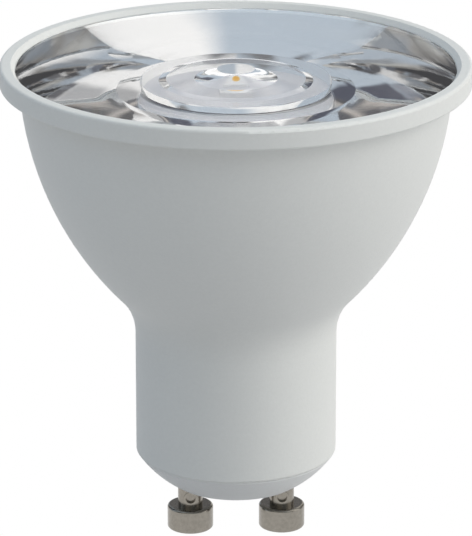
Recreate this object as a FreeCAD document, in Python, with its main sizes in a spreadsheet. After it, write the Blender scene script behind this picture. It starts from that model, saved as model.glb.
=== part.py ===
import FreeCAD, Part
import os
import re
from math import atan2, cos, pi, sqrt, tan

import Sketcher
from FreeCAD import Vector

# A GU10 spotlight bulb, standing on its two contact pins, lens upward.
# Millimetres. The origin is on the lamp's axis at the level of the pins' feet,
# the two pins stand on the X axis, and the dimples in them face -Y.

SIZES = {
    # contact pins
    "pin_spacing": 10.0,
    "pin_foot_radius": 2.5,
    "pin_foot_height": 2.67,
    "pin_foot_rounding": 0.3,
    "pin_neck_radius": 1.35,
    "pin_neck_length": 3.13,
    "pin_head_radius": 1.9,
    "pin_head_height": 0.6,
    "pin_bore_radius": 0.55,
    "pin_bore_depth": 3.4,
    "dimple_radius": 0.55,
    "dimple_depth": 0.35,
    "dimple_height": 3.77,
    "dimple_lip": 0.2,
    "dimple_rise": 0.06,
    "press_gap": 0.03,
    # base cap
    "cap_pin_margin": 2.0,
    "cap_cone_run": 3.6,
    "cap_cone_height": 3.4,
    "cap_cone_radius": 12.0,
    "cap_floor": 1.5,
    "cap_wall": 1.25,
    "cap_rim_edge": 0.15,
    "spigot_height": 3.0,
    "rail_width": 0.9,
    "rail_depth": 0.9,
    "rail_height": 2.6,
    "rail_start": 0.3,
    # housing
    "seam_step": 0.25,
    "seam_rounding": 0.3,
    "neck_length": 16.33,
    "neck_wall": 1.4,
    "neck_blend": 6.5,
    "bowl_radius": 36.66,
    "bowl_height": 25.17,
    "bowl_wall": 1.0,
    "ring_radius": 25.0,
    "ring_overhang": 2.05,
    "ring_height": 2.16,
    "ring_wall": 1.65,
    "ring_face": 1.2,
    "ring_bevel": 0.5,
    "ring_edge": 0.25,
    "ring_rounding": 0.35,
    "ring_root": 0.4,
    "fit_gap": 0.1,
    # lens
    "lens_recess": 0.56,
    "lens_edge": 0.37,
    "lens_depth": 8.5,
    "seat_depth": 1.5,
    "window_radius": 10.15,
    "window_depth": 5.8,
    "window_step_radius": 8.17,
    "window_floor_radius": 7.4,
    "window_rise": 0.7,
    "well_radius": 4.4,
    "well_top_radius": 2.0,
    "well_roof": 0.9,
    "well_flare": 6.0,
    # reflector
    "reflector_gap": 0.05,
    "reflector_wall": 0.3,
    # heat sink
    "sink_gap": 0.1,
    "sink_wall": 0.7,
    "deck_thickness": 1.4,
    "pedestal_height": 1.85,
    "skirt_drop": 4.73,
    "skirt_wall": 1.0,
    # light source
    "pad_thickness": 0.15,
    "board_thickness": 1.0,
    "board_margin": 0.25,
    "board_gap": 1.1,
    "source_width": 3.5,
    "source_height": 0.7,
    "phosphor_radius": 1.1,
    "phosphor_depth": 0.25,
    "dome_radius": 1.5,
    # insulating cap over the driver
    "insulator_wall": 0.4,
    "insulator_height": 4.5,
    "insulator_drop": 0.83,
    # driver board
    "driver_width": 14.6,
    "driver_height": 13.6,
    "driver_thickness": 1.0,
    "driver_front": 1.2,
    "driver_lift": 0.7,
    "slot_gap": 0.05,
    "solder_gap": 0.1,
    # driver components
    "capacitor_radius": 3.3,
    "capacitor_length": 8.4,
    "capacitor_across": -3.5,
    "capacitor_drop": 0.6,
    "capacitor_rounding": 0.5,
    "capacitor_groove": 0.25,
    "capacitor_groove_lift": 0.75,
    "capacitor_lead": 0.25,
    "capacitor_lead_run": 0.75,
    "capacitor_spread": 0.8,
    "film_length": 5.0,
    "film_height": 3.0,
    "film_depth": 2.3,
    "film_lift": 0.5,
    "film_across": 0.6,
    "film_rounding": 0.4,
    "chip_length": 4.9,
    "chip_height": 3.9,
    "chip_depth": 1.45,
    "chip_across": 3.3,
    "chip_drop": 0.5,
    "chip_leg": 0.4,
    "chip_leg_reach": 0.8,
    "chip_foot": 0.35,
    "chip_pitch": 1.27,
    "rectifier_length": 4.7,
    "rectifier_height": 3.2,
    "rectifier_depth": 2.3,
    "rectifier_lift": 0.5,
    "diode_width": 1.9,
    "diode_height": 4.0,
    "diode_depth": 1.9,
    "diode_gap": 0.4,
    "diode_lift": 3.6,
    "core_width": 7.8,
    "core_depth": 3.4,
    "core_height": 7.8,
    "core_leg": 1.1,
    "core_lift": 4.2,
    "core_stand": 0.6,
    "core_yoke": 1.2,
    "core_gap": 0.05,
    "bobbin_flange": 0.5,
    "bobbin_wall": 0.35,
    "bobbin_radius": 2.15,
    "winding_radius": 1.95,
    "resistor_radius": 1.05,
    "resistor_length": 4.0,
    "resistor_lift": 2.2,
    "resistor_rounding": 0.4,
    "resistor_bend_lift": 0.4,
    "resistor_bend_rise": 1.4,
    "resistor_joint": 0.6,
    # wires
    "wire_radius": 0.3,
    "wire_tail": 2.9,
    "bend_rise": 1.2,
    "joint_length": 1.0,
    "led_wire_radius": 0.4,
    "led_wire_across": 5.6,
    "led_wire_reach": 4.0,
    "led_wire_drop": 4.8,
    "led_wire_joint": 2.8,
    "led_wire_rise": 2.4,
    "wire_hole_gap": 0.15,
}

doc = FreeCAD.newDocument("Spotlight")
sheet = doc.addObject("Spreadsheet::Sheet", "Sizes")
for row, (word, value) in enumerate(SIZES.items(), 1):
    sheet.set(f"A{row}", word)
    sheet.set(f"B{row}", str(value))
    sheet.setAlias(f"B{row}", word)
doc.recompute()


def cells(text):
    """The same expression with each size named as a cell of the sheet."""
    return re.sub(r"[a-z]\w*", lambda word: "Sizes." + word[0] if word[0] in SIZES else word[0], str(text))


def number(text):
    """What an expression comes to now."""
    value = sheet.evalExpression(cells(text))
    return float(getattr(value, "Value", value))


# Levels and radii that several pieces share, each worked out from the sizes.

PIN_AT = "pin_spacing / 2"
CAP_BOTTOM = "(pin_foot_height + pin_neck_length)"
CAP_FACE = "(pin_spacing / 2 + cap_pin_margin)"
CAP_RIM = f"({CAP_FACE} + cap_cone_run)"
SEAM = f"({CAP_BOTTOM} + cap_cone_height)"
CAP_INSIDE = f"({CAP_BOTTOM} + cap_floor)"
PIN_TOP = f"({CAP_INSIDE} + pin_head_height)"
NECK = f"({CAP_RIM} + seam_step)"
BORE = f"({NECK} - neck_wall)"
CORNER = f"({SEAM} + neck_length)"
RING_UNDER = f"({CORNER} + bowl_height)"
RIM = f"({RING_UNDER} + ring_height)"
BOWL_TOP = "(ring_radius - ring_overhang)"
BOWL_CHORD = f"sqrt(pow({BOWL_TOP} - {NECK}; 2) + pow(bowl_height; 2))"
BOWL_RISE = f"sqrt(pow(bowl_radius; 2) - pow({BOWL_CHORD} / 2; 2))"
BOWL_CENTRE = f"({CORNER} + bowl_height / 2 + {BOWL_RISE} * ({BOWL_TOP} - {NECK}) / {BOWL_CHORD})"
BOWL_OFFSET = f"({BOWL_RISE} * bowl_height / {BOWL_CHORD} - ({BOWL_TOP} + {NECK}) / 2)"


def bowl_at(level, inset="0"):
    """The bowl's radius at a level, on a surface inset from the outside."""
    return f"(sqrt(pow(bowl_radius - ({inset}); 2) - pow({BOWL_CENTRE} - ({level}); 2)) - {BOWL_OFFSET})"


def bowl_level(radius, inset="0"):
    """The level at which that surface has a given radius."""
    return f"({BOWL_CENTRE} - sqrt(pow(bowl_radius - ({inset}); 2) - pow({radius} + {BOWL_OFFSET}; 2)))"


SEAT_BORE = "(ring_radius - ring_wall)"
LENS_RADIUS = f"({SEAT_BORE} - fit_gap)"
LENS_TOP = f"({RIM} - lens_recess)"
LENS_EDGE = f"({LENS_TOP} - lens_edge)"
LENS_END = f"({LENS_TOP} - lens_depth)"
LEDGE = f"({LENS_TOP} - seat_depth)"
WINDOW = f"({LENS_TOP} - window_depth)"
BOARD_RADIUS = "(window_radius - board_margin)"
BOARD_TOP = f"({WINDOW} - board_gap)"
BOARD_UNDER = f"({BOARD_TOP} - board_thickness)"
SOURCE_TOP = f"({BOARD_TOP} + source_height)"
PEDESTAL = f"({BOARD_UNDER} - pad_thickness)"
DECK = f"({PEDESTAL} - pedestal_height)"
DECK_UNDER = f"({DECK} - deck_thickness)"
SINK_OUTSIDE = "bowl_wall + sink_gap"
SINK_INSIDE = "bowl_wall + sink_gap + sink_wall"
SKIRT = f"({BORE} - fit_gap)"
SKIRT_BORE = f"({SKIRT} - skirt_wall)"
SKIRT_END = f"({CORNER} - skirt_drop)"
SPIGOT = f"({BORE} - fit_gap)"
SPIGOT_BORE = f"({SPIGOT} - cap_wall)"
INSULATOR = f"({SKIRT_BORE} - fit_gap)"
INSULATOR_TOP = f"({CORNER} - insulator_drop)"
WIRE_HOLE = "(led_wire_radius + wire_hole_gap)"
DRIVER_FOOT = f"({PIN_TOP} + driver_lift)"
DRIVER_TOP = f"({DRIVER_FOOT} + driver_height)"
DRIVER_BACK = "(driver_front + driver_thickness)"
RAIL_FOOT = f"({PIN_TOP} + rail_start)"


def sketch_on(body, name, role, lift="0"):
    """A sketch on one of the body's own origin planes, lifted along its normal."""
    sketch = body.newObject("Sketcher::SketchObject", name)
    plane = next(feature for feature in body.Origin.OriginFeatures if feature.Role == role)
    sketch.AttachmentSupport = [(plane, "")]
    sketch.MapMode = "FlatFace"
    if lift != "0":
        sketch.setExpression("AttachmentOffset.Base.z", cells(lift))
    return sketch


def hold(sketch, constraint, expression):
    """Adds a dimension to the sketch and binds it to the sizes."""
    index = sketch.addConstraint(constraint)
    sketch.setExpression(f"Constraints[{index}]", cells(expression))


def arc_edge(start, end, radius, turn):
    """The shorter arc from start to end that turns left or right."""
    chord = end - start
    side = 1 if turn == "left" else -1
    rise = sqrt(max(radius ** 2 - (chord.Length / 2) ** 2, 0))
    centre = (start + end) * 0.5 + Vector(-chord.y, chord.x, 0) * (side * rise / chord.Length)
    first, last = (start, end) if turn == "left" else (end, start)
    angles = [atan2(point.y - centre.y, point.x - centre.x) for point in (first, last)]
    return Part.ArcOfCircle(Part.Circle(centre, Vector(0, 0, 1), radius), *angles)


def outline(sketch, corners):
    """A closed outline. Each corner is (across, up), or (across, up, radius, turn)
    where an arc leads to it from the corner before."""
    places = [Vector(number(corner[0]), number(corner[1]), 0) for corner in corners]
    finish = []
    begin = []
    for index, corner in enumerate(corners):
        start, end = places[index - 1], places[index]
        if len(corner) == 4:
            edge = sketch.addGeometry(arc_edge(start, end, number(corner[2]), corner[3]), False)
            hold(sketch, Sketcher.Constraint("Radius", edge, number(corner[2])), corner[2])
        else:
            edge = sketch.addGeometry(Part.LineSegment(start, end), False)
        backward = len(corner) == 4 and corner[3] == "right"
        begin.append((edge, 2 if backward else 1))
        finish.append((edge, 1 if backward else 2))
    for index, corner in enumerate(corners):
        edge, point = finish[index]
        following = begin[(index + 1) % len(corners)]
        sketch.addConstraint(Sketcher.Constraint("Coincident", edge, point, *following))
        for axis, kind, text in ((-2, "DistanceX", corner[0]), (-1, "DistanceY", corner[1])):
            if text == "0":
                sketch.addConstraint(Sketcher.Constraint("PointOnObject", edge, point, axis))
            else:
                hold(sketch, Sketcher.Constraint(kind, -1, 1, edge, point, number(text)), text)


def circle(sketch, across, up, radius):
    """A circle in a sketch, held at its centre and by its radius."""
    centre = Vector(number(across), number(up), 0)
    edge = sketch.addGeometry(Part.Circle(centre, Vector(0, 0, 1), number(radius)), False)
    hold(sketch, Sketcher.Constraint("Radius", edge, number(radius)), radius)
    for axis, kind, text in ((-2, "DistanceX", across), (-1, "DistanceY", up)):
        if text == "0":
            sketch.addConstraint(Sketcher.Constraint("PointOnObject", edge, 3, axis))
        else:
            hold(sketch, Sketcher.Constraint(kind, -1, 1, edge, 3, number(text)), text)


def new_body(label):
    """An empty body that takes its name from its label."""
    piece = doc.addObject("PartDesign::Body", label)
    piece.Label = label
    return piece


def turned(label, corners):
    """A body turned about the vertical axis from an outline of radius and height."""
    piece = new_body(label)
    sketch = sketch_on(piece, label + "_section", "XZ_Plane")
    outline(sketch, corners)
    turning = piece.newObject("PartDesign::Revolution", label + "_turned")
    turning.Profile = sketch
    turning.ReferenceAxis = (sketch, ["V_Axis"])
    turning.Angle = 360
    doc.recompute()
    return piece


def padded(piece, sketch, height):
    """Adds the sketch's shape to the body, along the sketch's normal."""
    doc.recompute()
    pad = piece.newObject("PartDesign::Pad", sketch.Name + "_pad")
    pad.Profile = sketch
    pad.setExpression("Length", cells(height))
    doc.recompute()
    return piece


def pocketed(piece, sketch, depth=None):
    """Cuts the sketch's shape out of the body, against the sketch's normal."""
    doc.recompute()
    before = piece.Shape.Volume
    pocket = piece.newObject("PartDesign::Pocket", sketch.Name + "_pocket")
    pocket.Profile = sketch
    if depth is None:
        pocket.Type = 1
    else:
        pocket.setExpression("Length", cells(depth))
    doc.recompute()
    if piece.Shape.Volume >= before:
        raise RuntimeError(f"{sketch.Name} cuts nothing")
    return piece


def placed(piece, across="0", along="0", up="0"):
    """Moves a piece to a place worked out from the sizes."""
    for axis, text in (("x", across), ("y", along), ("z", up)):
        if text != "0":
            piece.setExpression(f"Placement.Base.{axis}", cells(text))
    return piece


def box(label, low, high):
    """A block between two corners, each a triple of expressions."""
    piece = doc.addObject("Part::Box", label)
    piece.Label = label
    for name, first, last in zip(("Length", "Width", "Height"), low, high):
        piece.setExpression(name, cells(f"({last}) - ({first})"))
    return placed(piece, *low)


def rod(label, radius, height, *place):
    """An upright round rod."""
    piece = doc.addObject("Part::Cylinder", label)
    piece.Label = label
    piece.setExpression("Radius", cells(radius))
    piece.setExpression("Height", cells(height))
    return placed(piece, *place)


def joined(label, pieces):
    """Several shapes that are one solid."""
    whole = doc.addObject("Part::MultiFuse", label)
    whole.Label = label
    whole.Shapes = pieces
    return whole


def rectangle(sketch, left, low, right, high):
    outline(sketch, [(left, low), (right, low), (right, high), (left, high)])


def wire(label, route, radius):
    """A round wire along straight runs joined by tangent arcs."""
    points = [Vector(*(number(text) for text in point)) for point in route]
    edges = []
    begin = points[0]
    for before, corner, after in zip(points, points[1:], points[2:]):
        arrive = (corner - before).normalize()
        leave = (after - corner).normalize()
        turn = arrive.getAngle(leave)
        reach = BEND_SHARE * min((corner - before).Length, (after - corner).Length)
        bend = reach / tan(turn / 2)
        inward = (leave - arrive).normalize()
        first = corner - arrive * reach
        last = corner + leave * reach
        middle = corner + inward * (bend / cos(turn / 2) - bend)
        edges.append(Part.LineSegment(begin, first).toShape())
        edges.append(Part.Arc(first, middle, last).toShape())
        begin = last
        print(f"{label}: bend of {bend:.2f} mm")
    edges.append(Part.LineSegment(begin, points[-1]).toShape())
    path = Part.Wire(edges)
    thickness = number(radius)
    ring = Part.Wire(Part.Circle(points[0], points[1] - points[0], thickness).toShape())
    shape = path.makePipeShell([ring], True, False)
    volume = pi * thickness ** 2 * path.Length
    if abs(shape.Volume - volume) > volume * WIRE_TOLERANCE:
        raise RuntimeError(f"{label} has the wrong volume")
    piece = doc.addObject("Part::Feature", label)
    piece.Label = label
    piece.Shape = shape
    return piece


BEND_SHARE = 0.45
WIRE_TOLERANCE = 0.01
CHIP_LEG_ROWS = 4
BOTH_SIDES = (("left", "-"), ("right", ""))

# Housing: ring, bowl and neck in one white moulding, hollow all through.

BLEND_SPAN = "(bowl_radius + neck_blend)"
BLEND_LEVEL = f"({BOWL_CENTRE} - sqrt(pow({BLEND_SPAN}; 2) - pow({NECK} + neck_blend + {BOWL_OFFSET}; 2)))"
BLEND_RADIUS = f"(({NECK} + neck_blend + {BOWL_OFFSET}) * bowl_radius / {BLEND_SPAN} - {BOWL_OFFSET})"
BLEND_TOP = f"({BOWL_CENTRE} - ({BOWL_CENTRE} - {BLEND_LEVEL}) * bowl_radius / {BLEND_SPAN})"
ROOT_LEVEL = f"({RING_UNDER} - ring_root)"

turned("housing", [
    (BORE, SEAM),
    (f"{NECK} - seam_rounding", SEAM),
    (NECK, f"{SEAM} + seam_rounding", "seam_rounding", "left"),
    (NECK, BLEND_LEVEL),
    (BLEND_RADIUS, BLEND_TOP, "neck_blend", "right"),
    (bowl_at(ROOT_LEVEL), ROOT_LEVEL, "bowl_radius", "left"),
    (f"{bowl_at(ROOT_LEVEL)} + ring_root", RING_UNDER, "ring_root", "right"),
    ("ring_radius - ring_edge", RING_UNDER),
    ("ring_radius", f"{RING_UNDER} + ring_edge", "ring_edge", "left"),
    ("ring_radius", f"{RIM} - ring_rounding"),
    ("ring_radius - ring_rounding", RIM, "ring_rounding", "left"),
    ("ring_radius - ring_face", RIM),
    (SEAT_BORE, f"{RIM} - ring_bevel"),
    (SEAT_BORE, LEDGE),
    (bowl_at(LEDGE, "bowl_wall"), LEDGE),
    (BORE, bowl_level(BORE, "bowl_wall"), "bowl_radius - bowl_wall", "right"),
])

# Base cap: the conical foot, its spigot in the neck, and two rails for the driver board.

CAP_WELL = "(pin_spacing / 2 + pin_head_radius + 2 * fit_gap)"
CAP_SHOULDER = f"({CAP_INSIDE} + {SPIGOT_BORE} - {CAP_WELL})"
RAIL_FRONT = "(driver_front - slot_gap - rail_width)"
RAIL_BACK = f"({DRIVER_BACK} + slot_gap + rail_width)"
RAIL_INNER = "(driver_width / 2 + slot_gap - rail_depth)"
RAIL_OUTER = f"sqrt(pow({SPIGOT_BORE} + cap_wall / 2; 2) - pow({RAIL_BACK}; 2))"

base_cap = turned("base_cap", [
    ("0", CAP_BOTTOM),
    (CAP_FACE, CAP_BOTTOM),
    (CAP_RIM, f"{SEAM} - cap_rim_edge", "cap_cone_radius", "left"),
    (CAP_RIM, SEAM),
    (SPIGOT, SEAM),
    (SPIGOT, f"{SEAM} + spigot_height"),
    (SPIGOT_BORE, f"{SEAM} + spigot_height"),
    (SPIGOT_BORE, CAP_SHOULDER),
    (CAP_WELL, CAP_INSIDE),
    ("0", CAP_INSIDE),
])
rails = sketch_on(base_cap, "rails", "XY_Plane", RAIL_FOOT)
rectangle(rails, f"-{RAIL_OUTER}", RAIL_FRONT, f"-{RAIL_INNER}", RAIL_BACK)
rectangle(rails, RAIL_INNER, RAIL_FRONT, RAIL_OUTER, RAIL_BACK)
padded(base_cap, rails, "rail_height")
slots = sketch_on(base_cap, "slots", "XY_Plane", f"{RAIL_FOOT} + rail_height")
rectangle(slots, "-driver_width / 2 - slot_gap", "driver_front - slot_gap",
          f"-{RAIL_INNER} + slot_gap", f"{DRIVER_BACK} + slot_gap")
rectangle(slots, f"{RAIL_INNER} - slot_gap", "driver_front - slot_gap",
          "driver_width / 2 + slot_gap", f"{DRIVER_BACK} + slot_gap")
pocketed(base_cap, slots, f"{RAIL_FOOT} + rail_height - {DRIVER_FOOT}")
pin_holes = sketch_on(base_cap, "pin_holes", "XY_Plane", CAP_INSIDE)
circle(pin_holes, f"-{PIN_AT}", "0", "pin_neck_radius + press_gap")
circle(pin_holes, PIN_AT, "0", "pin_neck_radius + press_gap")
pocketed(base_cap, pin_holes)

# Contact pins: a wide foot, a neck with a crimp dimple, and a head riveted over the cap's floor.

for side, sign in BOTH_SIDES:
    pin = turned(f"contact_pin_{side}", [
        ("0", "0"),
        ("pin_foot_radius - pin_foot_rounding", "0"),
        ("pin_foot_radius", "pin_foot_rounding", "pin_foot_rounding", "left"),
        ("pin_foot_radius", "pin_foot_height - pin_foot_rounding"),
        ("pin_foot_radius - pin_foot_rounding", "pin_foot_height", "pin_foot_rounding", "left"),
        ("pin_neck_radius", "pin_foot_height"),
        ("pin_neck_radius", CAP_INSIDE),
        ("pin_head_radius", CAP_INSIDE),
        ("pin_head_radius", PIN_TOP),
        ("pin_bore_radius", PIN_TOP),
        ("pin_bore_radius", f"{PIN_TOP} - pin_bore_depth"),
        ("0", f"{PIN_TOP} - pin_bore_depth"),
    ])
    lip = sketch_on(pin, f"lip_{side}", "XZ_Plane", "pin_neck_radius - dimple_depth")
    circle(lip, "0", "dimple_height", "dimple_radius + dimple_lip")
    padded(pin, lip, "dimple_depth + dimple_rise")
    dimple = sketch_on(pin, f"dimple_{side}", "XZ_Plane", "pin_neck_radius + dimple_rise")
    circle(dimple, "0", "dimple_height", "dimple_radius")
    pocketed(pin, dimple, "dimple_depth + dimple_rise")
    placed(pin, f"{sign}{PIN_AT}")

# Lens: one clear moulding with a flat face, a conical back and a window over the light source.
# A flared well rises from the window's middle almost to the face.

WINDOW_FLOOR = f"({WINDOW} + window_rise)"
WELL_TOP = f"({LENS_TOP} - well_roof)"

turned("lens", [
    ("0", WELL_TOP),
    ("well_top_radius", WELL_TOP),
    ("well_radius", WINDOW_FLOOR, "well_flare", "left"),
    ("window_floor_radius", WINDOW_FLOOR),
    ("window_step_radius", WINDOW),
    ("window_radius", WINDOW),
    ("window_radius", LENS_END),
    (LENS_RADIUS, LENS_EDGE),
    (LENS_RADIUS, LENS_TOP),
    ("0", LENS_TOP),
])

# Reflector: a thin mirrored cone that follows the lens's back and rests on the housing's ledge.

turned("reflector", [
    ("window_radius", f"{LENS_END} - reflector_gap - reflector_wall"),
    (bowl_at(LEDGE, "bowl_wall"), LEDGE),
    (LENS_RADIUS, LEDGE),
    (LENS_RADIUS, f"{LENS_EDGE} - reflector_gap"),
    ("window_radius", f"{LENS_END} - reflector_gap"),
])

# Heat sink: an aluminium bell in the housing, with a deck, a pedestal for the board and a skirt.

heat_sink = turned("heat_sink", [
    (SKIRT_BORE, SKIRT_END),
    (SKIRT, SKIRT_END),
    (SKIRT, bowl_level(SKIRT, SINK_OUTSIDE)),
    (bowl_at(DECK, SINK_OUTSIDE), DECK, f"bowl_radius - ({SINK_OUTSIDE})", "left"),
    (BOARD_RADIUS, DECK),
    (BOARD_RADIUS, PEDESTAL),
    ("0", PEDESTAL),
    ("0", DECK_UNDER),
    (bowl_at(DECK_UNDER, SINK_INSIDE), DECK_UNDER),
    (SKIRT_BORE, bowl_level(SKIRT_BORE, SINK_INSIDE), f"bowl_radius - ({SINK_INSIDE})", "right"),
])
sink_holes = sketch_on(heat_sink, "sink_holes", "XY_Plane", PEDESTAL)
for side, sign in BOTH_SIDES:
    circle(sink_holes, f"{sign}led_wire_across", "led_wire_reach", WIRE_HOLE)
pocketed(heat_sink, sink_holes)

# Light source: a board on the pedestal over a thermal pad, with one emitter.

led_board = new_body("led_board")
board_shape = sketch_on(led_board, "board_shape", "XY_Plane", BOARD_UNDER)
circle(board_shape, "0", "0", BOARD_RADIUS)
padded(led_board, board_shape, "board_thickness")
thermal_pad = new_body("thermal_pad")
pad_shape = sketch_on(thermal_pad, "pad_shape", "XY_Plane", PEDESTAL)
circle(pad_shape, "0", "0", BOARD_RADIUS)
for side, sign in BOTH_SIDES:
    circle(pad_shape, f"{sign}led_wire_across", "led_wire_reach", WIRE_HOLE)
padded(thermal_pad, pad_shape, "pad_thickness")

led_emitter = new_body("led_emitter")
package = sketch_on(led_emitter, "package", "XY_Plane", BOARD_TOP)
rectangle(package, "-source_width / 2", "-source_width / 2", "source_width / 2", "source_width / 2")
padded(led_emitter, package, "source_height")
recess = sketch_on(led_emitter, "recess", "XY_Plane", SOURCE_TOP)
circle(recess, "0", "0", "phosphor_radius")
pocketed(led_emitter, recess, "phosphor_depth")

rod("led_phosphor", "phosphor_radius", "phosphor_depth", "0", "0", f"{SOURCE_TOP} - phosphor_depth")
turned("led_dome", [
    ("0", SOURCE_TOP),
    ("dome_radius", SOURCE_TOP),
    ("0", f"{SOURCE_TOP} + dome_radius", "dome_radius", "left"),
])

# Insulating cap: keeps the driver clear of the heat sink.

INSULATOR_FOOT = f"({INSULATOR_TOP} - insulator_height)"
insulating_cap = turned("insulating_cap", [
    (f"{INSULATOR} - insulator_wall", INSULATOR_FOOT),
    (INSULATOR, INSULATOR_FOOT),
    (INSULATOR, INSULATOR_TOP),
    ("0", INSULATOR_TOP),
    ("0", f"{INSULATOR_TOP} - insulator_wall"),
    (f"{INSULATOR} - insulator_wall", f"{INSULATOR_TOP} - insulator_wall"),
])
wire_holes = sketch_on(insulating_cap, "wire_holes", "XY_Plane", INSULATOR_TOP)
for side, sign in BOTH_SIDES:
    circle(wire_holes, f"{sign}led_wire_across", "led_wire_reach", WIRE_HOLE)
pocketed(insulating_cap, wire_holes, "2 * insulator_wall")

# Driver board and what it carries.

box("driver_board", ("-driver_width / 2", "driver_front", DRIVER_FOOT),
    ("driver_width / 2", DRIVER_BACK, DRIVER_TOP))

CAN_ALONG = "(driver_front - solder_gap - capacitor_radius)"
CAN_TOP = f"({DRIVER_TOP} - capacitor_drop)"
CAN_FOOT = f"({CAN_TOP} - capacitor_length)"
GROOVE = "(capacitor_radius - capacitor_groove)"
can = placed(turned("capacitor_can", [
    ("0", CAN_FOOT),
    ("capacitor_radius - capacitor_rounding", CAN_FOOT),
    ("capacitor_radius", f"{CAN_FOOT} + capacitor_rounding", "capacitor_rounding", "left"),
    ("capacitor_radius", f"{CAN_FOOT} + capacitor_groove_lift"),
    (GROOVE, f"{CAN_FOOT} + capacitor_groove_lift + capacitor_groove"),
    ("capacitor_radius", f"{CAN_FOOT} + capacitor_groove_lift + 2 * capacitor_groove"),
    ("capacitor_radius", f"{CAN_TOP} - capacitor_rounding"),
    ("capacitor_radius - capacitor_rounding", CAN_TOP, "capacitor_rounding", "left"),
    ("0", CAN_TOP),
]), "capacitor_across", CAN_ALONG)
LEAD_FACE = "(driver_front - solder_gap - capacitor_lead)"
leads = [
    wire(f"capacitor_lead_{side}", [
        (f"capacitor_across + {sign}capacitor_spread", CAN_ALONG, f"{CAN_FOOT} + capacitor_lead"),
        (f"capacitor_across + {sign}capacitor_spread", CAN_ALONG, f"{CAN_FOOT} - capacitor_lead_run"),
        (f"capacitor_across + {sign}capacitor_spread", LEAD_FACE, f"{CAN_FOOT} - 2 * capacitor_lead_run"),
        (f"capacitor_across + {sign}capacitor_spread", LEAD_FACE, f"{CAN_FOOT} - 3 * capacitor_lead_run"),
    ], "capacitor_lead")
    for side, sign in BOTH_SIDES
]
joined("input_capacitor", [can] + leads)

FILM_FOOT = f"({DRIVER_FOOT} + film_lift)"
film = box("film_block", ("film_across - film_length / 2", "driver_front - film_depth", FILM_FOOT),
           ("film_across + film_length / 2", "driver_front", f"{FILM_FOOT} + film_height"))
film_capacitor = doc.addObject("Part::Fillet", "film_capacitor")
film_capacitor.Base = film

RECTIFIER_FOOT = f"({DRIVER_FOOT} + rectifier_lift)"
box("bridge_rectifier", ("-rectifier_length / 2", DRIVER_BACK, RECTIFIER_FOOT),
    ("rectifier_length / 2", f"{DRIVER_BACK} + rectifier_depth", f"{RECTIFIER_FOOT} + rectifier_height"))

DIODE_FOOT = f"({DRIVER_FOOT} + diode_lift)"
box("output_diode", ("core_width / 2 + diode_gap", DRIVER_BACK, DIODE_FOOT),
    ("core_width / 2 + diode_gap + diode_width", f"{DRIVER_BACK} + diode_depth",
     f"{DIODE_FOOT} + diode_height"))

CHIP_TOP = f"({DRIVER_TOP} - chip_drop)"
CHIP_MIDDLE = f"({CHIP_TOP} - chip_length / 2)"
chip_parts = [box("chip_case",
                  ("chip_across - chip_height / 2", "driver_front - chip_depth", f"{CHIP_TOP} - chip_length"),
                  ("chip_across + chip_height / 2", "driver_front", CHIP_TOP))]
CHIP_LEFT = "(chip_across - chip_height / 2 - chip_leg_reach)"
CHIP_RIGHT = "(chip_across + chip_height / 2 + chip_leg_reach)"
for row in range(CHIP_LEG_ROWS):
    level = f"({CHIP_MIDDLE} + chip_pitch * {row - (CHIP_LEG_ROWS - 1) / 2})"
    chip_parts.append(box(f"chip_legs_{row}",
                          (CHIP_LEFT, "driver_front - chip_foot", f"{level} - chip_leg / 2"),
                          (CHIP_RIGHT, "driver_front", f"{level} + chip_leg / 2")))
joined("driver_chip", chip_parts)

# Transformer: a ferrite core round a bobbin, with its winding.

CORE_MIDDLE = f"({DRIVER_BACK} + core_stand + core_depth / 2)"
CORE_FOOT = f"({DRIVER_FOOT} + core_lift)"
WINDOW_FOOT = f"({CORE_FOOT} + core_yoke)"
WINDOW_TOP = f"({CORE_FOOT} + core_height - core_yoke)"
WINDOW_HALF = "(bobbin_radius + core_gap * 2)"
frame = box("core_block", ("-core_width / 2", f"{CORE_MIDDLE} - core_depth / 2", CORE_FOOT),
            ("core_width / 2", f"{CORE_MIDDLE} + core_depth / 2", f"{CORE_FOOT} + core_height"))
window = box("core_window", (f"-{WINDOW_HALF}", f"{CORE_MIDDLE} - core_depth", WINDOW_FOOT),
             (WINDOW_HALF, f"{CORE_MIDDLE} + core_depth", WINDOW_TOP))
yokes = doc.addObject("Part::Cut", "core_yokes")
yokes.Base = frame
yokes.Tool = window
leg = rod("core_leg_rod", "core_leg", f"{WINDOW_TOP} - {WINDOW_FOOT}", "0", CORE_MIDDLE, WINDOW_FOOT)
joined("transformer_core", [yokes, leg])

BOBBIN_BORE = "(core_leg + core_gap)"
BOBBIN_TUBE = f"({BOBBIN_BORE} + bobbin_wall)"
BOBBIN_FOOT = f"({WINDOW_FOOT} + core_gap)"
BOBBIN_TOP = f"({WINDOW_TOP} - core_gap)"
placed(turned("transformer_bobbin", [
    (BOBBIN_BORE, BOBBIN_FOOT),
    ("bobbin_radius", BOBBIN_FOOT),
    ("bobbin_radius", f"{BOBBIN_FOOT} + bobbin_flange"),
    (BOBBIN_TUBE, f"{BOBBIN_FOOT} + bobbin_flange"),
    (BOBBIN_TUBE, f"{BOBBIN_TOP} - bobbin_flange"),
    ("bobbin_radius", f"{BOBBIN_TOP} - bobbin_flange"),
    ("bobbin_radius", BOBBIN_TOP),
    (BOBBIN_BORE, BOBBIN_TOP),
]), "0", CORE_MIDDLE)
placed(turned("transformer_winding", [
    (BOBBIN_TUBE, f"{BOBBIN_FOOT} + bobbin_flange"),
    ("winding_radius", f"{BOBBIN_FOOT} + bobbin_flange"),
    ("winding_radius", f"{BOBBIN_TOP} - bobbin_flange"),
    (BOBBIN_TUBE, f"{BOBBIN_TOP} - bobbin_flange"),
]), "0", CORE_MIDDLE)

# Mains side: a plain wire from the left pin, and a fusible resistor from the right one.

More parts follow.
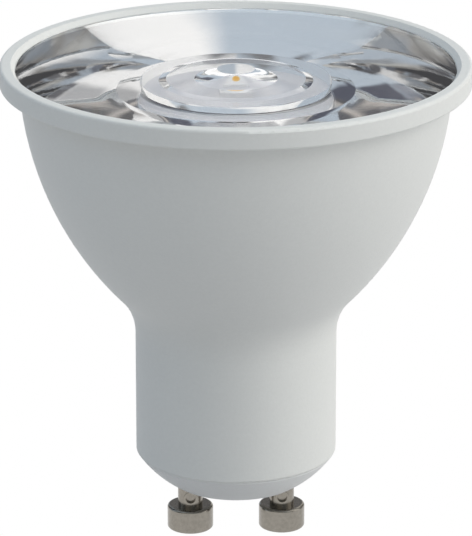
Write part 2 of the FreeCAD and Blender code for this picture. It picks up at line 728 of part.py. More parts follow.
WIRE_FACE = "(driver_front - solder_gap - wire_radius)"
WIRE_START = f"({PIN_TOP} - wire_tail)"
WIRE_BEND = f"({RAIL_FOOT} + rail_height)"
wire("mains_lead", [
    (f"-{PIN_AT}", "0", WIRE_START),
    (f"-{PIN_AT}", "0", WIRE_BEND),
    (f"-{PIN_AT}", WIRE_FACE, f"{WIRE_BEND} + bend_rise"),
    (f"-{PIN_AT}", WIRE_FACE, f"{WIRE_BEND} + bend_rise + joint_length"),
], "wire_radius")

RESISTOR_FOOT = f"({PIN_TOP} + resistor_lift)"
RESISTOR_TOP = f"({RESISTOR_FOOT} + resistor_length)"
RESISTOR_ALONG = f"({RAIL_FRONT} - fit_gap - resistor_radius)"
resistor_body = placed(turned("resistor_body", [
    ("0", RESISTOR_FOOT),
    ("resistor_radius - resistor_rounding", RESISTOR_FOOT),
    ("resistor_radius", f"{RESISTOR_FOOT} + resistor_rounding", "resistor_rounding", "left"),
    ("resistor_radius", f"{RESISTOR_TOP} - resistor_rounding"),
    ("resistor_radius - resistor_rounding", RESISTOR_TOP, "resistor_rounding", "left"),
    ("0", RESISTOR_TOP),
]), PIN_AT, RESISTOR_ALONG)
lower_lead = wire("resistor_lower_lead", [
    (PIN_AT, "0", WIRE_START),
    (PIN_AT, "0", f"{PIN_TOP} + resistor_bend_lift"),
    (PIN_AT, RESISTOR_ALONG, f"{RESISTOR_FOOT} - resistor_bend_lift"),
    (PIN_AT, RESISTOR_ALONG, f"{RESISTOR_FOOT} + wire_radius"),
], "wire_radius")
UPPER_BEND = f"({RESISTOR_TOP} + resistor_bend_lift)"
upper_lead = wire("resistor_upper_lead", [
    (PIN_AT, RESISTOR_ALONG, f"{RESISTOR_TOP} - wire_radius"),
    (PIN_AT, RESISTOR_ALONG, UPPER_BEND),
    (PIN_AT, WIRE_FACE, f"{UPPER_BEND} + resistor_bend_rise"),
    (PIN_AT, WIRE_FACE, f"{UPPER_BEND} + resistor_bend_rise + resistor_joint"),
], "wire_radius")
joined("fusible_resistor", [resistor_body, lower_lead, upper_lead])

# Lamp side: two insulated leads up through the heat sink to the board's underside.

LED_FACE = f"({DRIVER_BACK} + solder_gap + led_wire_radius)"
LED_START = f"({DRIVER_TOP} - led_wire_drop)"
LED_BEND = f"({LED_START} + led_wire_joint)"
for colour, sign in (("red", ""), ("black", "-")):
    wire(f"led_lead_{colour}", [
        (f"{sign}led_wire_across", LED_FACE, LED_START),
        (f"{sign}led_wire_across", LED_FACE, LED_BEND),
        (f"{sign}led_wire_across", "led_wire_reach", f"{LED_BEND} + led_wire_rise"),
        (f"{sign}led_wire_across", "led_wire_reach", BOARD_UNDER),
    ], "led_wire_radius")

doc.recompute()
film_capacitor.Edges = [(index, number("film_rounding"), number("film_rounding"))
                        for index in range(1, len(film.Shape.Edges) + 1)]
doc.recompute()

NODES = [
    "housing", "base_cap", "contact_pin_left", "contact_pin_right", "lens", "reflector",
    "heat_sink", "thermal_pad", "led_board", "led_emitter", "led_phosphor", "led_dome",
    "insulating_cap", "driver_board", "input_capacitor", "film_capacitor", "bridge_rectifier",
    "output_diode", "driver_chip", "transformer_core", "transformer_bobbin", "transformer_winding",
    "mains_lead", "fusible_resistor", "led_lead_red", "led_lead_black",
]

for item in doc.Objects:
    if {"Invalid", "Error"} & set(item.State):
        raise RuntimeError(f"{item.Label} failed: {item.State}")

os.makedirs("parts", exist_ok=True)
for name in NODES:
    item = doc.getObjectsByLabel(name)[0]
    if item.Shape.isNull() or not item.Shape.isValid():
        raise RuntimeError(f"{name} has no valid shape")
    item.Shape.exportStep(f"parts/{name}.step")
    print(f"{name}: {len(item.Shape.Solids)} solid, {item.Shape.Volume:.2f} mm3")
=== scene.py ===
import math

import bpy
from bpy.props import FloatProperty, FloatVectorProperty, PointerProperty
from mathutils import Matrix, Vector


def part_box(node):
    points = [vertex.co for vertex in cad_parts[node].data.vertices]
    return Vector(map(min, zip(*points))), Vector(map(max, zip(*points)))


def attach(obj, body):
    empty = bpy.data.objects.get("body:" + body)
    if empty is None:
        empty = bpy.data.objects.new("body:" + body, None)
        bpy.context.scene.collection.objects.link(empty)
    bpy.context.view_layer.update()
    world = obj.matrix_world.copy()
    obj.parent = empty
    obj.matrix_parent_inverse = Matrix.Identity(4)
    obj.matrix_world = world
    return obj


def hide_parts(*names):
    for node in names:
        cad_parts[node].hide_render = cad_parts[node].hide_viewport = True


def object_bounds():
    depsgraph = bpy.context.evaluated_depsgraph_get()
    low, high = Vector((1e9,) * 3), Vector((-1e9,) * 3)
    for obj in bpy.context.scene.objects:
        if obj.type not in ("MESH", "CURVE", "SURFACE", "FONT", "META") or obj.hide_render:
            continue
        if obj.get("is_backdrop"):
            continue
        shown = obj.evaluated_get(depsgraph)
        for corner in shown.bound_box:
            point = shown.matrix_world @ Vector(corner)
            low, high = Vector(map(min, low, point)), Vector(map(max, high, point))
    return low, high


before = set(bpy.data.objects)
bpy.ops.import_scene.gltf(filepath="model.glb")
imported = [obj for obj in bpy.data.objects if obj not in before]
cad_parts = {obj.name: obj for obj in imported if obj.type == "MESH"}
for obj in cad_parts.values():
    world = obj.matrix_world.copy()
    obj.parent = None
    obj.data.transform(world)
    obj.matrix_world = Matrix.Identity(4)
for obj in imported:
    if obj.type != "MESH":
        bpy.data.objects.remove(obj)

bl_info = {
    "name": "GU10 spotlight bulb",
    "version": (1, 0, 0),
    "blender": (4, 2, 0),
    "location": "View3D > Sidebar > Spotlight",
    "description": "Builds the looks of a GU10 spotlight bulb round its CAD frame",
    "category": "Object",
}

# The frame is in metres, +Z up the lamp's axis, with the pins on X and the camera towards -Y.

MM = 0.001
ARC_STEP = math.radians(3)
ROUND_STEPS = 360
DOME_STEPS = 96
CREASE = math.radians(20)

# The lens's section in mm: radii from the axis, and depths under its face

WINDOW_RADIUS = 10.15
WINDOW_DEPTH = 5.8
WINDOW_RISE = 0.7
STEP_RADIUS = 8.17
FLOOR_RADIUS = 7.4
WELL_RADIUS = 4.4
WELL_TOP_RADIUS = 2.0
WELL_ROOF = 0.9
WELL_FLARE = 6.0
BACK_RADIUS = 16.7
BACK_DEPTH = 4.37
LENS_EDGE = 0.37

# The reflector and the dome in mm

REFLECTOR_GAP = 0.06
REFLECTOR_WALL = 0.3
LEDGE_RADIUS = 21.96
LEDGE_LEVEL = 50.8
DOME_SUNK = 0.05

# The mouldings' and metals' grain, as noise per metre and as depth in metres

MOULDING_TONE_GRAIN = 2600
MOULDING_GRAIN = 5200
MIRROR_RIPPLE = 420
METAL_GRAIN = 2500
FINE_DEPTH = 0.000004


# Sections and solids of revolution


def rounded(corners):
    """A closed section from corners (radius, height) in mm. A corner with a third and fourth
    value is reached from the one before by an arc of that radius that turns left or right."""
    points = []
    for index, corner in enumerate(corners):
        end = Vector(corner[:2])
        if len(corner) == 4:
            points += arc(Vector(corners[index - 1][:2]), end, corner[2], corner[3])
        points.append(end)
    return points


def arc(start, end, radius, turn):
    """The points between start and end on the shorter arc."""
    chord = end - start
    side = 1 if turn == "left" else -1
    rise = math.sqrt(max(radius**2 - (chord.length / 2) ** 2, 0))
    centre = (start + end) / 2 + Vector((-chord.y, chord.x)) * (side * rise / chord.length)
    first = math.atan2(start.y - centre.y, start.x - centre.x)
    sweep = 2 * math.asin(min(chord.length / 2 / radius, 1)) * side
    steps = max(2, math.ceil(abs(sweep) / ARC_STEP), math.ceil(chord.length))
    return [
        centre + radius * Vector((math.cos(angle), math.sin(angle)))
        for angle in (first + sweep * k / steps for k in range(1, steps))
    ]


def turned(name, section, material, steps=ROUND_STEPS):
    """A mesh turned about the lamp's axis from a closed section of (radius, height) in mm."""
    on_axis = 1e-4
    vertices, rings = [], []
    for radius, height in section:
        if radius < on_axis:
            rings.append([len(vertices)] * steps)
            vertices.append((0, 0, height * MM))
        else:
            rings.append([len(vertices) + k for k in range(steps)])
            for k in range(steps):
                angle = math.tau * k / steps
                across, along = radius * math.cos(angle), radius * math.sin(angle)
                vertices.append((across * MM, along * MM, height * MM))
    faces = []
    for index, low in enumerate(rings):
        high = rings[(index + 1) % len(rings)]
        for k in range(steps):
            after = (k + 1) % steps
            face = list(dict.fromkeys((low[k], low[after], high[after], high[k])))
            if len(face) > 2:
                faces.append(face)
    return shown(name, vertices, faces, material)


def shown(name, vertices, faces, material):
    """A smooth object from vertices and faces, with edges past the crease angle left sharp."""
    mesh = bpy.data.meshes.new(name)
    mesh.from_pydata(vertices, [], faces)
    mesh.validate()
    for polygon in mesh.polygons:
        polygon.use_smooth = True
    mesh.set_sharp_from_angle(angle=CREASE)
    mesh.materials.append(material)
    item = bpy.data.objects.new(name, mesh)
    bpy.context.scene.collection.objects.link(item)
    return item


def belongs(item, node):
    """The object rides with the lamp and stands for this CAD node, which is hidden."""
    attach(item, "root")
    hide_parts(node)


def finish_node(name, material):
    """A CAD node gets its finish."""
    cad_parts[name].data.materials[0] = material


def lowest(node):
    """The lowest level of a CAD node in mm."""
    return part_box(node)[0].z / MM


def highest(node):
    """The highest level of a CAD node in mm."""
    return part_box(node)[1].z / MM


def widest(node):
    """The radius of a round CAD node in mm."""
    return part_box(node)[1].x / MM


# Materials


class Shader:
    """A material with one Principled shader and helpers for the nodes that feed it."""

    def __init__(self, name, **values):
        self.material = bpy.data.materials.new(name)
        self.material.use_nodes = True
        self.tree = self.material.node_tree
        self.principled = self.tree.nodes["Principled BSDF"]
        for socket, value in values.items():
            self.principled.inputs[socket.replace("_", " ")].default_value = value

    def add(self, kind, **values):
        """A new node, with values for its properties or its input sockets."""
        node = self.tree.nodes.new(kind)
        for word, value in values.items():
            if hasattr(node, word):
                setattr(node, word, value)
            else:
                node.inputs[word.replace("_", " ")].default_value = value
        return node

    def link(self, source, target):
        self.tree.links.new(source, target)

    def noise(self, scale, detail=2.0):
        """Noise in the object's own space, with the scale given per metre."""
        place = self.add("ShaderNodeTexCoord")
        noise = self.add("ShaderNodeTexNoise", Scale=scale, Detail=detail)
        self.link(place.outputs["Object"], noise.inputs["Vector"])
        return noise.outputs["Fac"]

    def mottled(self, low, high, scale, detail=2.0):
        """The base colour wanders between two close tones."""
        ramp = self.add("ShaderNodeMix", data_type="RGBA")
        self.link(self.noise(scale, detail), ramp.inputs["Factor"])
        ramp.inputs[6].default_value = (*low, 1)
        ramp.inputs[7].default_value = (*high, 1)
        self.link(ramp.outputs[2], self.principled.inputs["Base Color"])
        return self

    def bumped(self, scale, distance, strength=1.0, detail=2.0):
        """A fine relief, with its depth in metres."""
        bump = self.add("ShaderNodeBump", Strength=strength, Distance=distance)
        self.link(self.noise(scale, detail), bump.inputs["Height"])
        self.link(bump.outputs["Normal"], self.principled.inputs["Normal"])
        return self

    def varied(self, socket, low, high, scale):
        """A value of the shader that wanders between two limits."""
        spread = self.add("ShaderNodeMapRange", To_Min=low, To_Max=high)
        self.link(self.noise(scale), spread.inputs["Value"])
        self.link(spread.outputs["Result"], self.principled.inputs[socket])
        return self


def white_plastic(name, tone, roughness, grain):
    """Matte white moulding with a fine spark-eroded grain."""
    dark = tuple(value * 0.94 for value in tone)
    shader = Shader(name, Roughness=roughness, IOR=1.5)
    shader.mottled(dark, tone, MOULDING_TONE_GRAIN, 3).bumped(MOULDING_GRAIN, grain, 0.8, 3)
    return shader.material


def clear_plastic(name, index):
    """A polished clear moulding."""
    shader = Shader(name, Base_Color=(0.99, 0.995, 1, 1), Roughness=0.0)
    shader.principled.inputs["IOR"].default_value = index
    shader.principled.inputs["Transmission Weight"].default_value = 1.0
    return shader.material


def mirror(name, values):
    """A metallised moulding: bright, with a faint ripple from the mould."""
    tone = (*values.tone, 1)
    shader = Shader(name, Base_Color=tone, Metallic=1.0, Roughness=values.roughness)
    shader.bumped(MIRROR_RIPPLE, values.ripple)
    return shader.material


def metal(name, tone, roughness):
    """Plated or drawn metal with a slight unevenness."""
    dark = tuple(value * 0.62 for value in tone)
    shader = Shader(name, Metallic=1.0, Roughness=roughness)
    shader.mottled(dark, tone, METAL_GRAIN, 3)
    shader.varied("Roughness", roughness * 0.8, roughness * 1.25, METAL_GRAIN / 2)
    shader.bumped(METAL_GRAIN, FINE_DEPTH, 0.5)
    return shader.material


def plain(name, tone, roughness):
    """A moulded, painted or coated finish that wanders a little in tone."""
    dark = tuple(value * 0.9 for value in tone)
    shader = Shader(name, Roughness=roughness)
    shader.mottled(dark, tone, 1500).bumped(4000, FINE_DEPTH, 0.4)
    return shader.material


def phosphor(name, middle, edge, spot):
    """A phosphor that is deep yellow inside the spot and thins out past it. The spot is in mm."""
    soft = 0.25
    shader = Shader(name, Roughness=0.5)
    place = shader.add("ShaderNodeTexCoord")
    flat = shader.add("ShaderNodeVectorMath", operation="MULTIPLY")
    flat.inputs[1].default_value = (1, 1, 0)
    shader.link(place.outputs["Object"], flat.inputs[0])
    reach = shader.add("ShaderNodeVectorMath", operation="LENGTH")
    shader.link(flat.outputs["Vector"], reach.inputs[0])
    fade = shader.add("ShaderNodeMapRange", interpolation_type="SMOOTHSTEP")
    fade.inputs["From Min"].default_value = spot * (1 - soft) * MM
    fade.inputs["From Max"].default_value = spot * (1 + soft) * MM
    shader.link(reach.outputs["Value"], fade.inputs["Value"])
    tone = shader.add("ShaderNodeMix", data_type="RGBA")
    shader.link(fade.outputs["Result"], tone.inputs["Factor"])
    tone.inputs[6].default_value = (*middle, 1)
    tone.inputs[7].default_value = (*edge, 1)
    shader.link(tone.outputs[2], shader.principled.inputs["Base Color"])
    return shader.material


# Settings


class HousingSettings(bpy.types.PropertyGroup):
    tone: FloatVectorProperty(
        name="Tone", description="Colour of the housing's white moulding", subtype="COLOR",
        default=(0.79, 0.8, 0.78)
    )
    base_tone: FloatVectorProperty(
        name="Base tone", description="Colour of the base cap's white moulding", subtype="COLOR",
        default=(0.79, 0.8, 0.795)
    )
    roughness: FloatProperty(
        name="Roughness", description="Roughness of both mouldings", subtype="FACTOR", default=0.55
    )
    grain: FloatProperty(
        name="Grain", description="Depth of the mouldings' grain", unit="LENGTH", precision=6,
        default=0.000012
    )


class PinSettings(bpy.types.PropertyGroup):
    tone: FloatVectorProperty(
        name="Tone", description="Colour of the pins' plating", subtype="COLOR",
        default=(0.35, 0.325, 0.285)
    )
    roughness: FloatProperty(
        name="Roughness", description="Roughness of the plating", subtype="FACTOR", default=0.2
    )


class LensSettings(bpy.types.PropertyGroup):
    index: FloatProperty(name="Index", description="Refractive index of the acrylic", default=1.49)
    inner_curve: FloatProperty(
        name="Inner curve", description="Radius of the back's inner, bulging half in section",
        unit="LENGTH", default=0.083
    )
    outer_curve: FloatProperty(
        name="Outer curve", description="Radius of the back's outer, hollow half in section",
        unit="LENGTH", default=0.15
    )


class ReflectorSettings(bpy.types.PropertyGroup):
    tone: FloatVectorProperty(
        name="Tone", description="Colour of the mirror", subtype="COLOR", default=(0.9, 0.9, 0.9)
    )
    roughness: FloatProperty(
        name="Roughness", description="Roughness of the mirror", subtype="FACTOR", default=0.02
    )
    ripple: FloatProperty(
        name="Ripple", description="Depth of the mirror's ripple", unit="LENGTH", precision=6,
        default=0.000004
    )


class StageSettings(bpy.types.PropertyGroup):
    focal_length: FloatProperty(
        name="Focal length", description="Focal length of the camera in mm", default=277.6
    )
    world: FloatProperty(
        name="World", description="Strength of the light from all round", default=1.27
    )
    left_wall: FloatVectorProperty(
        name="Left wall", description="Light from the studio's left side", subtype="COLOR",
        default=(0.46, 0.53, 0.6)
    )
    right_wall: FloatVectorProperty(
        name="Right wall", description="Light from the studio's right side", subtype="COLOR",
        default=(0.99, 0.98, 0.96)
    )


PANELS = {
    "housing": HousingSettings,
    "pins": PinSettings,
    "lens": LensSettings,
    "reflector": ReflectorSettings,
    "stage": StageSettings,
}


# Pieces


class SPOTLIGHT_OT_housing(bpy.types.Operator):
    """Gives the housing and the base cap their white mouldings"""

    bl_idname = "spotlight.housing"
    bl_label = "Housing"

    def execute(self, context):
        values = context.scene.spotlight_housing
        for node, name, tone in (
            ("housing", "White housing", values.tone),
            ("base_cap", "White base", values.base_tone),
        ):
            finish_node(node, white_plastic(name, tuple(tone), values.roughness, values.grain))
        return {"FINISHED"}


class SPOTLIGHT_OT_pins(bpy.types.Operator):
    """Gives the contact pins their nickel plating"""

    bl_idname = "spotlight.pins"
    bl_label = "Pins"

    def execute(self, context):
        values = context.scene.spotlight_pins
        material = metal("Nickel", tuple(values.tone), values.roughness)
        for side in ("left", "right"):
            finish_node(f"contact_pin_{side}", material)
        return {"FINISHED"}


def lens_section(inner, outer):
    """The lens's section in mm: a flat face, an S-shaped back and a stepped window with a well."""
    top, radius = highest("lens"), widest("lens")
    window = top - WINDOW_DEPTH
    return rounded(
        [
            (0, top - WELL_ROOF),
            (WELL_TOP_RADIUS, top - WELL_ROOF),
            (WELL_RADIUS, window + WINDOW_RISE, WELL_FLARE, "left"),
            (FLOOR_RADIUS, window + WINDOW_RISE),
            (STEP_RADIUS, window),
            (WINDOW_RADIUS, window),
            (WINDOW_RADIUS, lowest("lens")),
            (BACK_RADIUS, top - BACK_DEPTH, inner, "right"),
            (radius, top - LENS_EDGE, outer, "left"),
            (radius, top),
            (0, top),
        ]
    )


class SPOTLIGHT_OT_lens(bpy.types.Operator):
    """Builds the clear lens with its mirrored back"""

    bl_idname = "spotlight.lens"
    bl_label = "Lens"

    def execute(self, context):
        values = context.scene.spotlight_lens
        section = lens_section(values.inner_curve / MM, values.outer_curve / MM)
        item = turned("clear_lens", section, clear_plastic("Clear acrylic", values.index))
        item.data.materials.append(mirror("Mirrored back", context.scene.spotlight_reflector))
        rim = highest("lens") - LENS_EDGE
        for polygon in item.data.polygons:
            across, along, up = polygon.center / MM
            if math.hypot(across, along) > WINDOW_RADIUS and up < rim:
                polygon.material_index = 1
        belongs(item, "lens")
        return {"FINISHED"}


def reflector_section(inner, outer):
    """The reflector's section in mm: it follows the lens's back at a small gap."""
    end, radius = lowest("reflector"), widest("reflector")
    return rounded(
        [
            (WINDOW_RADIUS, end),
            (LEDGE_RADIUS, LEDGE_LEVEL),
            (radius, LEDGE_LEVEL),
            (radius, highest("reflector")),
            (BACK_RADIUS, highest("lens") - BACK_DEPTH - REFLECTOR_GAP, outer, "right"),
            (WINDOW_RADIUS, end + REFLECTOR_WALL, inner, "left"),
        ]
    )


class SPOTLIGHT_OT_reflector(bpy.types.Operator):
    """Builds the mirrored reflector behind the lens"""

    bl_idname = "spotlight.reflector"
    bl_label = "Reflector"

    def execute(self, context):
        material = mirror("Metallised moulding", context.scene.spotlight_reflector)
        shape = context.scene.spotlight_lens
        section = reflector_section(shape.inner_curve / MM, shape.outer_curve / MM)
        belongs(turned("mirror_reflector", section, material), "reflector")
        return {"FINISHED"}


def dome_section():
    """The dome's section in mm. Its foot is let into the package, so that it wets the phosphor."""
    foot, radius = lowest("led_dome"), widest("led_dome")
    return rounded(
        [
            (0, foot - DOME_SUNK),
            (radius, foot - DOME_SUNK),
            (radius, foot),
            (0, highest("led_dome"), radius, "left"),
        ]
    )


class SPOTLIGHT_OT_inside(bpy.types.Operator):
    """Gives the heat sink, the light source and the driver their finishes, and builds the dome"""

    bl_idname = "spotlight.inside"
    bl_label = "Inside"

    def execute(self, context):
        resin = plain("Black resin", (0.03, 0.03, 0.03), 0.5)
        yellow, pale = (0.9, 0.45, 0.02), (0.9, 0.8, 0.5)
        finishes = {
            "heat_sink": metal("Satin aluminium", (0.8, 0.81, 0.83), 0.3),
            "led_board": plain("White solder mask", (0.94, 0.93, 0.95), 0.4),
            "thermal_pad": plain("Grey silicone", (0.5, 0.51, 0.53), 0.7),
            "led_emitter": plain("White package", (0.95, 0.94, 0.93), 0.4),
            "led_phosphor": phosphor("Yellow phosphor", yellow, pale, 1.05),
            "insulating_cap": plain("White insulator", (0.8, 0.8, 0.78), 0.5),
            "driver_board": plain("Green solder mask", (0.03, 0.22, 0.08), 0.35),
            "input_capacitor": plain("Black sleeve", (0.03, 0.03, 0.035), 0.3),
            "film_capacitor": plain("Amber resin", (0.6, 0.35, 0.05), 0.25),
            "bridge_rectifier": resin,
            "output_diode": resin,
            "driver_chip": resin,
            "transformer_core": plain("Ferrite", (0.07, 0.07, 0.075), 0.6),
            "transformer_bobbin": plain("Black bobbin", (0.04, 0.04, 0.04), 0.4),
            "transformer_winding": metal("Enamelled copper", (0.7, 0.3, 0.14), 0.3),
            "mains_lead": plain("White insulation", (0.8, 0.8, 0.8), 0.35),
            "fusible_resistor": plain("Tan coating", (0.55, 0.4, 0.26), 0.4),
            "led_lead_red": plain("Red insulation", (0.5, 0.02, 0.015), 0.35),
            "led_lead_black": plain("Black insulation", (0.02, 0.02, 0.02), 0.35),
        }
        for node, material in finishes.items():
            finish_node(node, material)
        silicone = clear_plastic("Clear silicone", 1.02)
        dome = turned("clear_dome", dome_section(), silicone, DOME_STEPS)
        belongs(dome, "led_dome")
        return {"FINISHED"}


# Stage


class SPOTLIGHT_OT_stage(bpy.types.Operator):
    """Sets the floor, the world, the lamps and the camera"""

    bl_idname = "spotlight.stage"
    bl_label = "Stage"

    def execute(self, context):
        values = context.scene.spotlight_stage
        white_floor()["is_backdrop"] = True
        Studio(values).painted()
        for lamp in LAMPS:
            soft_lamp(*lamp)
        photo_camera(values.focal_length)
        context.scene.view_settings.view_transform = "Standard"
        light_paths(context.scene.cycles)
        return {"FINISHED"}


# Name, place, size, power and tone of each softbox

LAMPS = (
    ("Right softbox", (0.6, -0.12, 0.25), (0.5, 0.6), 1.6, (1.0, 0.99, 0.96)),
)


def soft_lamp(name, place, size, power, tone):
    """A rectangular softbox that faces the lamp's neck and isn't seen in the mirror."""
    aim = Vector((0, 0, 0.03))
    light = bpy.data.lights.new(name, "AREA")
    light.shape = "RECTANGLE"
    light.size, light.size_y = size
    light.energy = power
    light.color = tone
    item = bpy.data.objects.new(name, light)
    item.location = place
    item.rotation_euler = (aim - Vector(place)).to_track_quat("-Z", "Y").to_euler()
    item.visible_glossy = False
    item.visible_transmission = False
    bpy.context.scene.collection.objects.link(item)


def white_floor():
    """A floor that the camera, metal and glass see as white. It bounces light elsewhere."""
    half, below = 2.0, -0.05 * MM
    quarters = ((-half, -half), (half, -half), (half, half), (-half, half))
    vertices = [(across, along, below) for across, along in quarters]
    shader = Shader("Floor", Base_Color=(0.55, 0.55, 0.56, 1), Roughness=0.8)
    glow = shader.add("ShaderNodeEmission", Strength=1.0)
    seen = shader.add("ShaderNodeMixShader")
    path = shader.add("ShaderNodeLightPath")
    white = path.outputs["Is Camera Ray"]
    for ray in ("Is Glossy Ray", "Is Transmission Ray"):
        either = shader.add("ShaderNodeMath", operation="MAXIMUM")
        shader.link(white, either.inputs[0])
        shader.link(path.outputs[ray], either.inputs[1])
        white = either.outputs[0]
    shader.link(white, seen.inputs[0])
    shader.link(shader.principled.outputs[0], seen.inputs[1])
    shader.link(glow.outputs[0], seen.inputs[2])
    shader.link(seen.outputs[0], shader.tree.nodes["Material Output"].inputs[0])
    return shown("floor", vertices, [(0, 1, 2, 3)], shader.material)


# The right wall's two edges, each as an azimuth in degrees and its softness

WALL_START = (22, 20)
WALL_END = (178, -2)

# Cards and flags round the lamp, painted on the world in this order. Each has its first and last
# azimuth in degrees, from the camera's side towards +X, its lowest and highest elevation, the
# width of its soft sides and ends, and its tone.

CARDS = (
    ("Bench", -60, 62, -5, 26, 8, 5, (0.29, 0.28, 0.26)),
    ("Bench end right", 5, 48, 14, 30, 8, 4, (0.27, 0.31, 0.35)),
    ("Bench end left", -42, 2, 17, 28, 8, 4, (0.55, 0.55, 0.52)),
    ("Camera", -30, 35, 24, 38, 14, 4, (0.3, 0.32, 0.34)),
    ("Left gap", -78, -50, 4, 26, 6, 5, (0.04, 0.04, 0.045)),
    ("Left flag", -131, -98, 27, 54, 4, 4, (0.04, 0.045, 0.075)),
    ("Left corner", -131, -103, 10, 27, 4, 4, (0.2, 0.22, 0.27)),
    ("Right corner", 97, 130, 22, 50, 8, 5, (0.45, 0.45, 0.45)),
    ("Right floor line", 98, 126, -5, 22, 4, 3, (0.12, 0.12, 0.13)),
    ("Back flag left", -152, -128, -8, 36, 5, 8, (0.06, 0.06, 0.07)),
    ("Back flag right", 128, 152, -8, 36, 5, 8, (0.08, 0.075, 0.07)),
    ("Back streak left", -152, -128, 17, 23, 5, 3, (0.5, 0.46, 0.42)),
    ("Back streak right", 128, 152, 17, 23, 5, 3, (0.5, 0.46, 0.42)),
    ("Back line left", -180, -160, 62, 68, 5, 2, (0.08, 0.08, 0.08)),
    ("Back line right", 162, 180, 62, 68, 5, 2, (0.08, 0.08, 0.08)),
    ("Back opening left", -190, -165, 4, 31, 5, 4, (0.2, 0.2, 0.21)),
    ("Back opening right", 165, 190, 4, 31, 5, 4, (0.2, 0.2, 0.21)),
    ("Overhead softbox", -200, 200, 78, 95, 5, 3, (1.15, 1.15, 1.15)),
)


class Studio:
    """The world: white to the camera, and to all else a studio with a left and a right wall."""

    def __init__(self, values):
        self.values = values
        self.world = bpy.data.worlds.new("Studio")
        self.world.use_nodes = True
        bpy.context.scene.world = self.world
        self.tree = self.world.node_tree
        place = self.tree.nodes.new("ShaderNodeTexCoord")
        split = self.tree.nodes.new("ShaderNodeSeparateXYZ")
        self.tree.links.new(place.outputs["Generated"], split.inputs[0])
        front = self.maths("MULTIPLY", split.outputs["Y"], -1.0)
        self.azimuth = self.maths("DEGREES", self.maths("ARCTAN2", split.outputs["X"], front))
        self.elevation = self.maths("DEGREES", self.maths("ARCSINE", split.outputs["Z"]))

    def maths(self, operation, *values):
        """The result of a Math node, each input a socket or a number."""
        node = self.tree.nodes.new("ShaderNodeMath")
        node.operation = operation
        for index, value in enumerate(values):
            if isinstance(value, (int, float)):
                node.inputs[index].default_value = value
            else:
                self.tree.links.new(value, node.inputs[index])
        return node.outputs[0]

    def step(self, value, middle, soft):
        """Rises smoothly from 0 to 1 round a middle. A negative softness makes it fall."""
        node = self.tree.nodes.new("ShaderNodeMapRange")
        node.interpolation_type = "SMOOTHSTEP"
        node.inputs["From Min"].default_value = middle - abs(soft)
        node.inputs["From Max"].default_value = middle + abs(soft)
        node.inputs["To Min"].default_value = 0.0 if soft > 0 else 1.0
        node.inputs["To Max"].default_value = 1.0 if soft > 0 else 0.0
        self.tree.links.new(value, node.inputs["Value"])
        return node.outputs[0]

    def mixed(self, factor, low, high):
        """A mix of two tones, each a colour or a socket."""
        node = self.tree.nodes.new("ShaderNodeMix")
        node.data_type = "RGBA"
        self.tree.links.new(factor, node.inputs["Factor"])
        for index, tone in ((6, low), (7, high)):
            if isinstance(tone, bpy.types.NodeSocket):
                self.tree.links.new(tone, node.inputs[index])
            else:
                node.inputs[index].default_value = (*tone, 1)
        return node.outputs[2]

    def band(self, value, start, end):
        """1 between two soft edges and 0 outside them."""
        return self.maths("MULTIPLY", self.step(value, *start), self.step(value, *end))

    def card(self, under, first, last, low, high, sides, ends, tone):
        """A soft-edged card over what is painted so far."""
        across = self.band(self.azimuth, (first, sides), (last, -sides))
        up = self.band(self.elevation, (low, ends), (high, -ends))
        return self.mixed(self.maths("MULTIPLY", across, up), under, tone)

    def painted(self):
        """Paints the walls and the cards, and keeps the camera's own view white."""
        side = self.band(self.azimuth, WALL_START, WALL_END)
        tone = self.mixed(side, tuple(self.values.left_wall), tuple(self.values.right_wall))
        for _, *card in CARDS:
            tone = self.card(tone, *card)
        glow = self.tree.nodes["Background"]
        glow.inputs["Strength"].default_value = self.values.world
        self.tree.links.new(tone, glow.inputs["Color"])
        seen = self.tree.nodes.new("ShaderNodeBackground")
        seen.inputs["Color"].default_value = (1, 1, 1, 1)
        path = self.tree.nodes.new("ShaderNodeLightPath")
        choice = self.tree.nodes.new("ShaderNodeMixShader")
        self.tree.links.new(path.outputs["Is Camera Ray"], choice.inputs[0])
        self.tree.links.new(glow.outputs[0], choice.inputs[1])
        self.tree.links.new(seen.outputs[0], choice.inputs[2])
        self.tree.links.new(choice.outputs[0], self.tree.nodes["World Output"].inputs[0])


def light_paths(cycles):
    """Enough bounces for light that runs round between the lens's face and its mirrored back,
    and no blurring of glossy light, which darkens the board behind the lens."""
    cycles.max_bounces = 24
    cycles.glossy_bounces = 16
    cycles.transmission_bounces = 24
    cycles.blur_glossy = 0.0


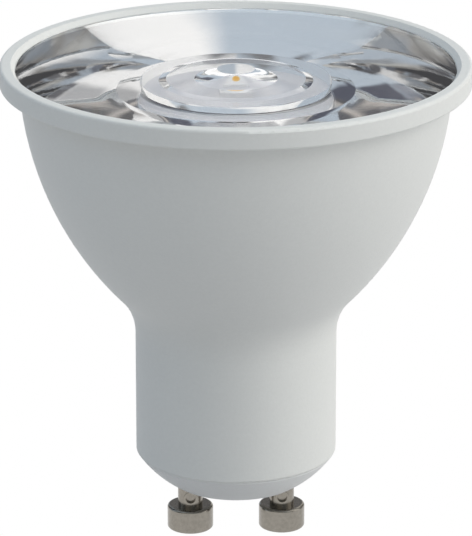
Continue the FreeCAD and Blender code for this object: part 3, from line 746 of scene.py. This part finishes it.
def photo_camera(focal_length):
    """The camera, placed as the photo's was."""
    lens = bpy.data.cameras.new("Camera")
    lens.sensor_width = 36
    lens.lens = focal_length
    lens.clip_start = 0.01
    item = bpy.data.objects.new("Camera", lens)
    distance, height = 0.42, 0.1734
    around, down = math.radians(2.05), math.radians(18.871)
    item.location = (-distance * math.sin(around), -distance * math.cos(around), height)
    item.rotation_euler = (math.pi / 2 - down, 0, -around)
    bpy.context.scene.collection.objects.link(item)
    bpy.context.scene.camera = item


# Panel and registration


class SPOTLIGHT_PT_panel(bpy.types.Panel):
    """Settings and steps of the spotlight bulb"""

    bl_label = "Spotlight"
    bl_idname = "SPOTLIGHT_PT_panel"
    bl_space_type = "VIEW_3D"
    bl_region_type = "UI"
    bl_category = "Spotlight"

    def draw(self, context):
        for word, settings in PANELS.items():
            group = getattr(context.scene, f"spotlight_{word}")
            box = self.layout.box()
            for name in settings.__annotations__:
                box.prop(group, name)
        for step in STEPS:
            self.layout.operator(step.bl_idname)


STEPS = (
    SPOTLIGHT_OT_housing,
    SPOTLIGHT_OT_pins,
    SPOTLIGHT_OT_lens,
    SPOTLIGHT_OT_reflector,
    SPOTLIGHT_OT_inside,
    SPOTLIGHT_OT_stage,
)


def register():
    for item in (*PANELS.values(), *STEPS, SPOTLIGHT_PT_panel):
        bpy.utils.register_class(item)
    for word, settings in PANELS.items():
        setattr(bpy.types.Scene, f"spotlight_{word}", PointerProperty(type=settings))


def unregister():
    for word in PANELS:
        delattr(bpy.types.Scene, f"spotlight_{word}")
    for item in reversed((*PANELS.values(), *STEPS, SPOTLIGHT_PT_panel)):
        bpy.utils.unregister_class(item)


def corners():
    """The shown object's box as plain lists."""
    return [list(corner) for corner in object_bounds()]


def main():
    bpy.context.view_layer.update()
    register()
    bpy.ops.spotlight.housing()
    bpy.ops.spotlight.pins()
    bpy.ops.spotlight.lens()
    bpy.ops.spotlight.reflector()
    bpy.ops.spotlight.inside()
    bpy.ops.spotlight.stage()


if __name__ == "__main__":
    main()
